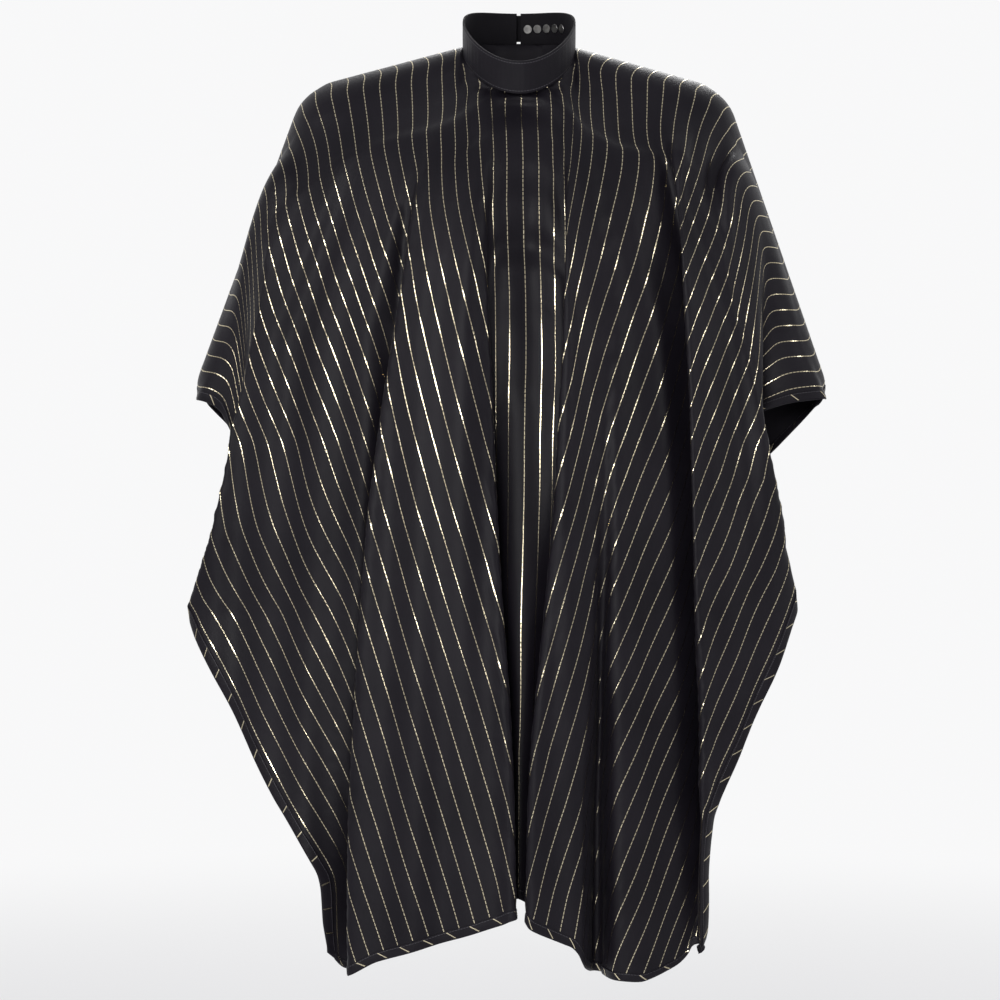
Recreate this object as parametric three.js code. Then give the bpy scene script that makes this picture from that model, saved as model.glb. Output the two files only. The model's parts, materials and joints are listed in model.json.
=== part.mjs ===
// Barber cape: a pinstriped cloth with a neckband, bound hems and a snap tab.
// Millimetres, +Z up, the front of the cape faces -Y, origin at the neck.
import * as THREE from 'three';
import { mergeVertices } from 'three/addons/utils/BufferGeometryUtils.js';

// ---- driving dimensions ----
const CLOTH_THICKNESS = 1.2;
const BINDING_WIDTH = 11;
const BINDING_THICKNESS = 1.8;
const BINDING_GAP = 1.2;
const GAP = 0.3;
const CURVE_GAP = 0.7;
const NECK_HALF_WIDTH = 65;
const NECK_HALF_DEPTH = 72;
const NECK_FRONT_DROP = 60;
const NECK_BACK_RISE = 22;
const NECK_LEAN = THREE.MathUtils.degToRad(15);
const BAND_HEIGHT = 38;
const PLY = 0.8;
const INTERLINING = 1.0;
const SLIT_HALF_ANGLE = 2;
const TAB_ROOT_ANGLE = -170;
const TAB_END_ANGLE = -222;
const TAB_INSET = 3;
const TAB_PLY = 0.6;
const TAB_CORE = 0.9;
const STUD_COUNT = 5;
const STUD_FIRST_ANGLE = -190;
const STUD_STEP_ANGLE = -11;
const SNAP_RADIUS = 5.2;
const POST_RADIUS = 1.6;
const SOCKET_HOLE_RADIUS = 2.9;
const SNAP_PLATE = 0.6;
const POST_HEIGHT = 2.2;
const SNAP_SEGMENTS = 20;
const COLUMNS_PER_RIB = 3;
const CLOTH_ROWS = 15;

// Radial layers of the neckband, measured outward from the skin side.
const LINING_IN = 0;
const CORE_IN = LINING_IN + PLY + GAP;
const OUTER_IN = CORE_IN + INTERLINING + GAP;
const BAND_FACE = OUTER_IN + PLY;
const STUD_IN = BAND_FACE + GAP;
const SOCKET_IN = STUD_IN + SNAP_PLATE + GAP;
const TAB_LINING_IN = STUD_IN + SNAP_PLATE + POST_HEIGHT + CURVE_GAP;
const TAB_CORE_IN = TAB_LINING_IN + TAB_PLY + GAP;
const TAB_OUTER_IN = TAB_CORE_IN + TAB_CORE + GAP;
const CAP_IN = TAB_OUTER_IN + TAB_PLY + GAP;

// ---- materials ----
function material(color, roughness, metalness) {
  return new THREE.MeshStandardMaterial({ color, roughness, metalness });
}
const clothMaterial = () => material(0x252328, 0.55, 0);
const bindingMaterial = () => material(0x2b292f, 0.5, 0);
const liningMaterial = () => material(0x1d1b20, 0.7, 0);
const feltMaterial = () => material(0x3a383c, 0.9, 0);
const metalMaterial = () => material(0x8d8c90, 0.32, 1);

// ---- shape of the hanging cloth ----
// Each rib runs from the neckband down to the hem.  The left half is listed from
// the front centre round to the back centre.
const leftRibs = [
  {
    name: 'front centre valley',
    points: [[6, -112, -110], [8, -128, -260], [8, -132, -480], [6, -130, -740], [0, -118, -1011]],
  },
  {
    name: 'front curtain edge',
    points: [[-22, -116, -105], [-30, -150, -260], [-20, -165, -480], [-14, -175, -740], [-12, -172, -1020]],
  },
  {
    name: 'front panel',
    points: [[-62, -112, -95], [-84, -148, -260], [-90, -168, -480], [-98, -182, -740], [-104, -185, -1045]],
  },
  {
    name: 'long fold edge',
    points: [[-100, -96, -80], [-132, -138, -240], [-165, -158, -470], [-190, -172, -740], [-200, -176, -1082]],
  },
  {
    name: 'front corner',
    points: [[-118, -86, -72], [-158, -120, -240], [-190, -128, -470], [-208, -135, -740], [-217, -120, -1062]],
  },
  {
    name: 'side panel',
    points: [[-150, -70, -70], [-200, -108, -230], [-250, -118, -430], [-282, -126, -640], [-300, -122, -830]],
  },
  {
    name: 'hanging flute',
    points: [[-176, -52, -70], [-236, -84, -210], [-296, -96, -370], [-345, -104, -520], [-379, -92, -673]],
  },
  {
    name: 'elbow front',
    points: [[-188, -28, -50], [-248, -50, -140], [-296, -58, -245], [-330, -60, -345], [-344, -56, -437]],
  },
  {
    name: 'arm ridge',
    points: [[-177, 5, -23], [-241, 5, -64], [-295, 5, -178], [-342, 2, -297], [-386, 0, -413]],
  },
  {
    name: 'elbow back',
    points: [[-170, 40, -25], [-236, 52, -90], [-286, 56, -220], [-328, 58, -340], [-352, 52, -470]],
  },
  {
    name: 'back corner',
    points: [[-150, 70, -30], [-215, 96, -130], [-262, 108, -310], [-286, 112, -520], [-290, 100, -740]],
  },
  {
    name: 'back flute',
    points: [[-120, 90, -30], [-170, 122, -120], [-200, 138, -250], [-222, 148, -390], [-236, 146, -540]],
  },
  {
    name: 'back panel',
    points: [[-62, 102, -20], [-92, 132, -110], [-110, 146, -200], [-124, 152, -300], [-134, 150, -415]],
  },
  {
    name: 'back centre',
    points: [[0, 104, -12], [0, 132, -90], [0, 146, -180], [0, 152, -275], [0, 150, -372]],
  },
];
// The right arm is held a little closer, so its side is narrower.
const RIGHT_WIDTH_SCALE = 0.945;
const RIGHT_FLUTE_SCALE = 0.86;
// Neck angle of each left rib: 0 is the front centre, -180 the back centre.
const ribNeckAngles = [0, -14, -30, -46, -56, -68, -80, -90, -98, -108, -122, -138, -158, -180];

function mirrored(rib) {
  const scale = rib.name === 'hanging flute' ? RIGHT_FLUTE_SCALE : RIGHT_WIDTH_SCALE;
  return { name: rib.name, points: rib.points.map(([x, y, z]) => [-x * scale, y, z]) };
}

// Lower edge of the neckband at an angle in degrees.
function neckEdge(angle) {
  const a = THREE.MathUtils.degToRad(angle);
  const slope = (NECK_FRONT_DROP + NECK_BACK_RISE) / 2;
  const sag = (NECK_FRONT_DROP - NECK_BACK_RISE) / 2;
  const c = Math.cos(a);
  return new THREE.Vector3(
    NECK_HALF_WIDTH * Math.sin(a),
    -NECK_HALF_DEPTH * c,
    -slope * c - sag * c * c,
  );
}
const bandUp = new THREE.Vector3(0, -Math.sin(NECK_LEAN), Math.cos(NECK_LEAN));

// Outward direction of the neckband at an angle in degrees.
function neckOutward(angle) {
  const a = THREE.MathUtils.degToRad(angle);
  const out = new THREE.Vector3(Math.sin(a) / NECK_HALF_WIDTH, -Math.cos(a) / NECK_HALF_DEPTH, 0);
  out.addScaledVector(bandUp, -out.dot(bandUp));
  return out.normalize();
}

// The cloth starts a little below and outside the band.
const CLOTH_START_OUT = 1.6;
const CLOTH_START_DOWN = 1.6;
function clothStart(angle) {
  return neckEdge(angle)
    .addScaledVector(neckOutward(angle), CLOTH_START_OUT)
    .addScaledVector(bandUp, -CLOTH_START_DOWN);
}

function ribCurve(rib, angle) {
  const points = [clothStart(angle)];
  for (const p of rib.points) {
    points.push(new THREE.Vector3(...p));
  }
  return points;
}
const ribs = [];
const lastLeft = leftRibs.length - 1;
for (let i = 0; i <= lastLeft; i += 1) {
  ribs.push(ribCurve(leftRibs[i], ribNeckAngles[i]));
}
for (let i = lastLeft - 1; i > 0; i -= 1) {
  ribs.push(ribCurve(mirrored(leftRibs[i]), -ribNeckAngles[i]));
}
const RIB_COUNT = ribs.length;
const POINTS_PER_RIB = ribs[0].length;

// A smooth rib at any position round the cape; whole numbers are the listed ribs.
function ribAt(position) {
  const points = [];
  const base = Math.floor(position);
  const f = position - base;
  for (let k = 0; k < POINTS_PER_RIB; k += 1) {
    const four = [-1, 0, 1, 2].map((o) => ribs[(base + o + 2 * RIB_COUNT) % RIB_COUNT][k]);
    const span = new THREE.CatmullRomCurve3(four, false, 'catmullrom', 0.5);
    points.push(span.getPoint((1 + f) / 3));
  }
  return new THREE.CatmullRomCurve3(points, false, 'centripetal');
}

// A column of points down one rib: the cloth's rows, then the binding's two rows.
function hangingColumn(position) {
  const curve = ribAt(position);
  const length = curve.getLength();
  const column = [];
  for (let r = 0; r <= CLOTH_ROWS; r += 1) {
    const reach = length - BINDING_WIDTH - BINDING_GAP;
    column.push(curve.getPointAt((reach * r) / CLOTH_ROWS / length));
  }
  column.push(curve.getPointAt(1 - BINDING_WIDTH / length));
  column.push(curve.getPointAt(1));
  return column;
}

// Unit normals of a grid of points, from each point's four neighbours.
function gridNormals(grid, closed) {
  const columns = grid.length;
  const rows = grid[0].length;
  return grid.map((column, i) => column.map((point, j) => {
    const left = grid[closed ? (i + columns - 1) % columns : Math.max(i - 1, 0)][j];
    const right = grid[closed ? (i + 1) % columns : Math.min(i + 1, columns - 1)][j];
    const up = column[Math.max(j - 1, 0)];
    const down = column[Math.min(j + 1, rows - 1)];
    const across = right.clone().sub(left);
    return across.cross(down.clone().sub(up)).normalize();
  }));
}

// Closed shell of even thickness around a grid of points.
function shell(grid, normals, thickness, closed) {
  const columns = grid.length;
  const rows = grid[0].length;
  const positions = [];
  const index = [];
  for (const side of [0.5, -0.5]) {
    for (let i = 0; i < columns; i += 1) {
      for (let j = 0; j < rows; j += 1) {
        const p = grid[i][j].clone().addScaledVector(normals[i][j], side * thickness);
        positions.push(p.x, p.y, p.z);
      }
    }
  }
  const at = (layer, i, j) => layer * columns * rows + (i % columns) * rows + j;
  const quad = (a, b, c, d) => index.push(a, b, c, a, c, d);
  const spans = closed ? columns : columns - 1;
  for (let i = 0; i < spans; i += 1) {
    for (let j = 0; j < rows - 1; j += 1) {
      quad(at(0, i, j), at(0, i + 1, j), at(0, i + 1, j + 1), at(0, i, j + 1));
      quad(at(1, i, j), at(1, i, j + 1), at(1, i + 1, j + 1), at(1, i + 1, j));
    }
    quad(at(0, i, 0), at(1, i, 0), at(1, i + 1, 0), at(0, i + 1, 0));
    quad(at(0, i, rows - 1), at(0, i + 1, rows - 1), at(1, i + 1, rows - 1), at(1, i, rows - 1));
  }
  if (!closed) {
    for (let j = 0; j < rows - 1; j += 1) {
      quad(at(0, 0, j), at(0, 0, j + 1), at(1, 0, j + 1), at(1, 0, j));
      const e = columns - 1;
      quad(at(0, e, j), at(1, e, j), at(1, e, j + 1), at(0, e, j + 1));
    }
  }
  const geometry = new THREE.BufferGeometry();
  geometry.setAttribute('position', new THREE.Float32BufferAttribute(positions, 3));
  geometry.setIndex(index);
  geometry.computeVertexNormals();
  return geometry;
}

const cape = new THREE.Group();
cape.name = 'barber_cape';

function addMesh(parent, name, geometry, meshMaterial) {
  const mesh = new THREE.Mesh(geometry, meshMaterial);
  mesh.name = name;
  parent.add(mesh);
  return mesh;
}

// ---- cloth and hem bindings ----
const hangingGrid = [];
for (let i = 0; i < RIB_COUNT * COLUMNS_PER_RIB; i += 1) {
  hangingGrid.push(hangingColumn(i / COLUMNS_PER_RIB));
}
const hangingNormals = gridNormals(hangingGrid, true);
const clothPart = (column) => column.slice(0, CLOTH_ROWS + 1);
const bindingPart = (column) => column.slice(CLOTH_ROWS + 1);
const clothShell = shell(
  hangingGrid.map(clothPart), hangingNormals.map(clothPart), CLOTH_THICKNESS, true,
);
addMesh(cape, 'cape_cloth', clothShell, clothMaterial());

// Binding from one rib to another, kept clear of its neighbours at the corners.
const CORNER_CLEARANCE = 0.03;
function binding(firstRib, lastRib) {
  const grid = [];
  const normals = [];
  const count = hangingGrid.length;
  const first = firstRib * COLUMNS_PER_RIB;
  const last = lastRib * COLUMNS_PER_RIB;
  for (let i = first; i <= last; i += 1) {
    const points = bindingPart(hangingGrid[(i + count) % count]).map((p) => p.clone());
    if (i === first || i === last) {
      const beside = bindingPart(hangingGrid[(i + (i === first ? 1 : -1) + count) % count]);
      points.forEach((p, k) => p.lerp(beside[k], CORNER_CLEARANCE));
    }
    grid.push(points);
    normals.push(bindingPart(hangingNormals[(i + count) % count]));
  }
  return shell(grid, normals, BINDING_THICKNESS, false);
}
const FRONT_CORNER = 4;
const BACK_CORNER = 10;
const bindings = [
  ['hem_binding_front', -FRONT_CORNER, FRONT_CORNER],
  ['hem_binding_left', FRONT_CORNER, BACK_CORNER],
  ['hem_binding_back', BACK_CORNER, RIB_COUNT - BACK_CORNER],
  ['hem_binding_right', RIB_COUNT - BACK_CORNER, RIB_COUNT - FRONT_CORNER],
];
for (const [name, first, last] of bindings) {
  addMesh(cape, name, binding(first, last), bindingMaterial());
}

// ---- neckband and tab plies ----
// A curved strip of one ply between two angles, two heights and two layers.
function bandPly(fromAngle, toAngle, low, high, inner, thickness, step) {
  const count = Math.max(2, Math.round(Math.abs(toAngle - fromAngle) / step));
  const grid = [];
  for (let i = 0; i <= count; i += 1) {
    const angle = fromAngle + ((toAngle - fromAngle) * i) / count;
    const out = neckOutward(angle);
    const base = neckEdge(angle).addScaledVector(out, inner + thickness / 2);
    grid.push([high, low].map((h) => base.clone().addScaledVector(bandUp, h)));
  }
  return shell(grid, gridNormals(grid, false), thickness, false);
}
const BAND_STEP = 6;
const TAB_STEP = 4;
const bandEnd = 180 - SLIT_HALF_ANGLE;
const bandPlies = [
  ['neckband_lining', LINING_IN, PLY, liningMaterial()],
  ['neckband_interlining', CORE_IN, INTERLINING, feltMaterial()],
  ['neckband_outer', OUTER_IN, PLY, clothMaterial()],
];
for (const [name, inner, thickness, plyMaterial] of bandPlies) {
  addMesh(cape, name, bandPly(bandEnd, -bandEnd, 0, BAND_HEIGHT, inner, thickness, BAND_STEP), plyMaterial);
}

const tab = new THREE.Group();
tab.name = 'closing_tab';
cape.add(tab);
const tabPlies = [
  ['tab_lining', TAB_LINING_IN, TAB_PLY, liningMaterial()],
  ['tab_interlining', TAB_CORE_IN, TAB_CORE, feltMaterial()],
  ['tab_outer', TAB_OUTER_IN, TAB_PLY, clothMaterial()],
];
for (const [name, inner, thickness, plyMaterial] of tabPlies) {
  const geometry = bandPly(
    TAB_ROOT_ANGLE, TAB_END_ANGLE, TAB_INSET, BAND_HEIGHT - TAB_INSET, inner, thickness, TAB_STEP,
  );
  addMesh(tab, name, geometry, plyMaterial);
}

// ---- snap fasteners ----
// Turns a profile of [radius, distance outward] pairs about the snap's own axis.
function turned(profile, angle) {
  const points = profile.map(([r, y]) => new THREE.Vector2(r, y));
  let geometry = new THREE.LatheGeometry(points, SNAP_SEGMENTS);
  geometry.deleteAttribute('normal');
  geometry.deleteAttribute('uv');
  geometry = mergeVertices(geometry, 1e-5);
  const turn = new THREE.Quaternion().setFromUnitVectors(
    new THREE.Vector3(0, 1, 0), neckOutward(angle),
  );
  geometry.applyQuaternion(turn);
  const place = neckEdge(angle).addScaledVector(bandUp, BAND_HEIGHT / 2);
  geometry.translate(place.x, place.y, place.z);
  return geometry;
}
const BEVEL = 0.25;
function disc(from, to, radius) {
  return [[0, from], [radius - BEVEL, from], [radius, from + BEVEL], [radius, to - BEVEL],
    [radius - BEVEL, to], [0, to]];
}
function stud(angle) {
  const plateTop = STUD_IN + SNAP_PLATE;
  const top = plateTop + POST_HEIGHT;
  return turned([[0, STUD_IN], [SNAP_RADIUS, STUD_IN], [SNAP_RADIUS, plateTop],
    [POST_RADIUS, plateTop], [POST_RADIUS, top - BEVEL], [POST_RADIUS - BEVEL, top], [0, top]], angle);
}
function socket(angle) {
  const top = STUD_IN + SNAP_PLATE + POST_HEIGHT;
  return turned([[SOCKET_HOLE_RADIUS, SOCKET_IN], [SNAP_RADIUS - BEVEL, SOCKET_IN],
    [SNAP_RADIUS, SOCKET_IN + BEVEL], [SNAP_RADIUS, top], [SOCKET_HOLE_RADIUS, top],
    [SOCKET_HOLE_RADIUS, SOCKET_IN]], angle);
}
const BACK_PLATE = 0.6;
for (let i = 0; i < STUD_COUNT; i += 1) {
  const angle = STUD_FIRST_ANGLE + STUD_STEP_ANGLE * i;
  addMesh(cape, `snap_stud_${i + 1}`, stud(angle), metalMaterial());
  const back = turned(disc(-CURVE_GAP - BACK_PLATE, -CURVE_GAP, SNAP_RADIUS), angle);
  addMesh(cape, `snap_stud_back_${i + 1}`, back, metalMaterial());
}
const socketStuds = [1, 2];
const CAP_HEIGHT = 1.1;
for (const [n, studIndex] of socketStuds.entries()) {
  const angle = STUD_FIRST_ANGLE + STUD_STEP_ANGLE * studIndex;
  addMesh(tab, `snap_socket_${n + 1}`, socket(angle), metalMaterial());
  const cap = turned(disc(CAP_IN, CAP_IN + CAP_HEIGHT, SNAP_RADIUS), angle);
  addMesh(tab, `snap_cap_${n + 1}`, cap, metalMaterial());
}

export default cape;
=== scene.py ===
import json
import math

import bpy
import numpy as np
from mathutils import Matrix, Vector

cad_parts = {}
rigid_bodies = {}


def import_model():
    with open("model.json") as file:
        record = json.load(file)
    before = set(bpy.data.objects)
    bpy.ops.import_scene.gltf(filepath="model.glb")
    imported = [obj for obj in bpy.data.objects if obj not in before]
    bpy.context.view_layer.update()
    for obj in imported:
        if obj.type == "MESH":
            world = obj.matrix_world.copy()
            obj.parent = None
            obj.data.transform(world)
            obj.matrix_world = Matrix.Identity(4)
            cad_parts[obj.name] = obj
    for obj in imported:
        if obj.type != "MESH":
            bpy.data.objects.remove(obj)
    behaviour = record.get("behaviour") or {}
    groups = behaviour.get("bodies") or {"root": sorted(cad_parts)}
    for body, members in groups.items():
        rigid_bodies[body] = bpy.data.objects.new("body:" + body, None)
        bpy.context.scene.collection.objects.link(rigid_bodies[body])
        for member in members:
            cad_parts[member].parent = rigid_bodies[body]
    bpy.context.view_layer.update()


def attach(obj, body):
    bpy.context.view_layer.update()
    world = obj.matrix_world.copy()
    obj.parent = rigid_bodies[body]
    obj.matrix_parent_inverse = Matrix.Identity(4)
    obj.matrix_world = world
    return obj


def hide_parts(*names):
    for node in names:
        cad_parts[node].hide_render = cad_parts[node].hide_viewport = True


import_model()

# ---------------------------------------------------------------- cut of the cloth
PITCH = 0.01905            # stripe to stripe
HALF_WIDTH = 0.645         # neck centre to side edge
FRONT_LENGTH = 1.050       # neck centre to front hem
BACK_LENGTH = 0.474        # neck centre to back hem
NECK_HOLE = 0.074          # radius of the flat neck hole
BINDING = 0.011            # width of the edge tape on each face
NECK_A = 0.065             # half width of the neckband
NECK_B = 0.072             # half depth of the neckband
NECK_SLOPE = 0.041         # tilt of the neck edge: down at the front, up at the back
NECK_SAG = 0.019           # how far its front and back dip below that tilt
LEAN = math.radians(15)    # how far the standing band leans forward
BAND_HEIGHT = 0.038
BAND_UP = np.array([0.0, -math.sin(LEAN), math.cos(LEAN)])


def neck_edge(angle):
    """Lower edge of the neckband; angle 0 is the front, in radians."""
    s, c = np.sin(angle), np.cos(angle)
    return np.stack([NECK_A * s, -NECK_B * c, -NECK_SLOPE * c - NECK_SAG * c * c], -1)


def neck_outward(angle):
    """Direction straight out of the neckband, square to its height."""
    s, c = np.sin(angle), np.cos(angle)
    out = np.stack([s / NECK_A, -c / NECK_B, np.zeros_like(s)], -1)
    out -= (out @ BAND_UP)[..., None] * BAND_UP
    return out / np.linalg.norm(out, axis=-1, keepdims=True)


# ---------------------------------------------------------------- first shape
# Ribs from the neck to the hem, in millimetres, left half from the front centre
# round to the back centre: angle at the neck, flat place of the hem end, points.
RIBS = [
    (0, (0, 1050),
     [[6, -112, -110], [8, -128, -260], [8, -132, -480], [6, -130, -740], [0, -118, -1011]]),
    (-14, (-261, 1050),
     [[-22, -116, -105], [-30, -150, -260], [-20, -165, -480], [-14, -175, -740], [-12, -172, -1020]]),
    (-30, (-343, 1050),
     [[-62, -112, -95], [-84, -148, -260], [-90, -168, -480], [-98, -182, -740], [-104, -185, -1045]]),
    (-46, (-476, 1050),
     [[-100, -96, -80], [-132, -138, -240], [-165, -158, -470], [-190, -172, -740], [-200, -176, -1082]]),
    (-56, (-645, 1050),
     [[-118, -86, -72], [-158, -120, -240], [-190, -128, -470], [-208, -135, -740], [-217, -120, -1062]]),
    (-68, (-645, 770),
     [[-150, -70, -70], [-200, -108, -230], [-250, -118, -430], [-282, -126, -640], [-300, -122, -830]]),
    (-80, (-645, 580),
     [[-176, -52, -70], [-236, -84, -210], [-296, -96, -370], [-345, -104, -520], [-379, -92, -673]]),
    (-90, (-645, 60),
     [[-188, -28, -50], [-248, -50, -140], [-296, -58, -245], [-330, -60, -345], [-344, -56, -437]]),
    (-98, (-645, 0),
     [[-177, 5, -23], [-241, 5, -64], [-295, 5, -178], [-342, 2, -297], [-386, 0, -413]]),
    (-108, (-645, -75),
     [[-170, 40, -25], [-236, 52, -90], [-286, 56, -220], [-328, 58, -340], [-352, 52, -470]]),
    (-122, (-645, -474),
     [[-150, 70, -30], [-215, 96, -130], [-262, 108, -310], [-286, 112, -520], [-290, 100, -740]]),
    (-138, (-480, -474),
     [[-120, 90, -30], [-170, 122, -120], [-200, 138, -250], [-222, 148, -390], [-236, 146, -540]]),
    (-158, (-220, -474),
     [[-62, 102, -20], [-92, 132, -110], [-110, 146, -200], [-124, 152, -300], [-134, 150, -415]]),
    (-180, (0, -474),
     [[0, 104, -12], [0, 132, -90], [0, 146, -180], [0, 152, -275], [0, 150, -372]]),
]
# The right half is the left one mirrored, with these hem ends and scales.
RIGHT_HEM = {1: (303, 1050), 2: (440, 1050), 3: (581, 1050)}
RIGHT_SCALE = 0.945
RIGHT_FLUTE_SCALE = 0.86


def catmull(p0, p1, p2, p3, t):
    """Smooth curve from p1 to p2, with p0 and p3 as the points beyond."""
    return 0.5 * (2 * p1 + (p2 - p0) * t + (2 * p0 - 5 * p1 + 4 * p2 - p3) * t ** 2
                  + (3 * p1 - p0 - 3 * p2 + p3) * t ** 3)


def rib_samples(steps):
    """Every rib as evenly spaced 3D points, with its two ends on the flat cloth."""
    rows, necks, hems = [], [], []
    order = list(range(14)) + list(range(12, 0, -1))
    for n, i in enumerate(order):
        angle, hem, points = RIBS[i]
        right = n > 13
        points = np.array(points, float) * 0.001
        if right:
            points[:, 0] *= -(RIGHT_FLUTE_SCALE if i == 6 else RIGHT_SCALE)
            hem = RIGHT_HEM.get(i, (-hem[0], hem[1]))
        a = math.radians(-angle if right else angle)
        start = neck_edge(np.array(a)) + 0.0016 * neck_outward(np.array(a)) - 0.0016 * BAND_UP
        points = np.vstack([start, points])
        ends = np.vstack([2 * points[0] - points[1], points, 2 * points[-1] - points[-2]])
        fine = [catmull(*ends[k:k + 4], t) for k in range(5) for t in np.linspace(0, 1, 20, False)]
        fine = np.array(fine + [points[-1]])
        length = np.r_[0, np.cumsum(np.linalg.norm(np.diff(fine, axis=0), axis=1))]
        at = np.linspace(0, length[-1], steps)
        rows.append(np.stack([np.interp(at, length, fine[:, c]) for c in range(3)], -1))
        necks.append((NECK_HOLE * math.sin(a), NECK_HOLE * math.cos(a)))
        hems.append((hem[0] * 0.001, hem[1] * 0.001))
    return np.array(rows), np.array(necks), np.array(hems)


def first_shape(uv):
    """A first 3D place for every flat point, read off the ribs."""
    steps, between = 61, 10
    rows, necks, hems = rib_samples(steps)
    count = len(rows)
    p = np.arange(count * between) / between
    i, f = np.floor(p).astype(int), (p % 1)[:, None]
    j = (i + 1) % count
    t = np.linspace(0, 1, steps)[None, :, None]
    neck = necks[i] * (1 - f) + necks[j] * f
    hem = hems[i] * (1 - f) + hems[j] * f
    flat = (neck[:, None] * (1 - t) + hem[:, None] * t).reshape(-1, 2)
    place = (rows[i] * (1 - f[..., None]) + rows[j] * f[..., None]).reshape(-1, 3)
    out = np.empty(uv.shape[:-1] + (3,))
    query = uv.reshape(-1, 2)
    result = out.reshape(-1, 3)
    for a in range(0, len(query), 500):
        q = query[a:a + 500]
        d = (flat[None, :, 0] - q[:, None, 0]) ** 2 + (flat[None, :, 1] - q[:, None, 1]) ** 2
        result[a:a + 500] = place[np.argmin(d, axis=1)]
    return out


# ---------------------------------------------------------------- how the front hangs
# Heights are in millimetres below the neck; the folds' places across the front are
# in millimetres; cloth places are in stripes from the centre one.
def line(z, heights, values):
    return np.interp(-z * 1000, heights, values)


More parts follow.
